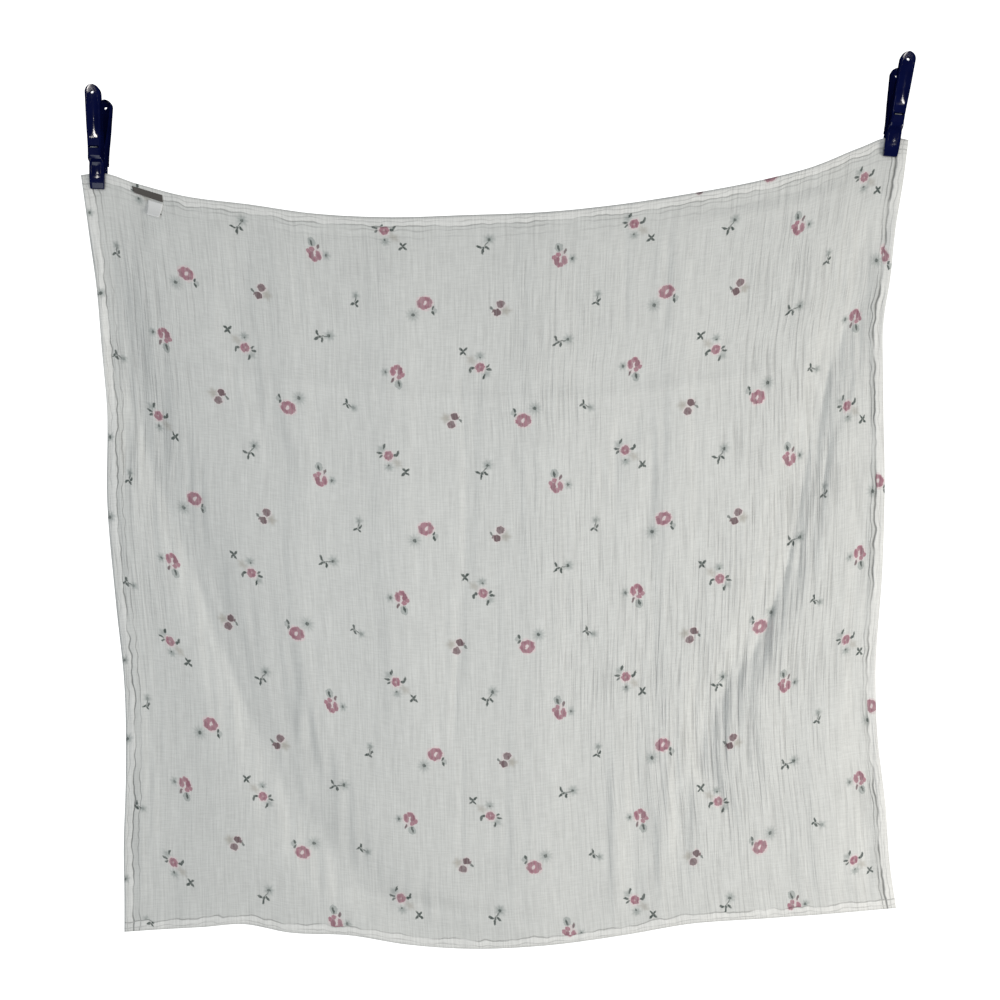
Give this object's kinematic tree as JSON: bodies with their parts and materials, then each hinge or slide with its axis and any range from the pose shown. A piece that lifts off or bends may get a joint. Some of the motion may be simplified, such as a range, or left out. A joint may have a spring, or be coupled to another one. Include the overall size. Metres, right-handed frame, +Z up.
{
  "type": "swaddle blanket hung from clothes pegs",
  "caption": "Crinkled cotton muslin swaddle blanket with a small floral print, hung by its top corners from plastic spring clothes pegs; the top edge sags and soft folds run down.",
  "frame": {"origin": "middle of the line between the springs of the pegs that the cloth hangs from", "axes": "+Z up, +X to the right as seen from the front, and the front of the cloth faces -Y"},
  "size_m": [1.181, 0.066, 1.2629],
  "materials": {
    "cotton_muslin": "crinkled double gauze, off-white to sage grey, with a small rose and green floral print",
    "woven_tape": "dark grey folded woven tape, blank",
    "care_tape": "white satin tape, blank",
    "peg_plastic": "glossy dark navy moulded polypropylene",
    "spring_steel": "bright drawn spring wire"
  },
  "bodies": {
    "root": {"blanket": "cotton_muslin", "woven_label": "woven_tape", "care_label": "care_tape", "left_peg_front_arm": "peg_plastic", "left_peg_back_arm": "peg_plastic", "left_peg_spring": "spring_steel", "right_peg_front_arm": "peg_plastic", "right_peg_back_arm": "peg_plastic", "right_peg_spring": "spring_steel"}
  },
  "joints": []
}
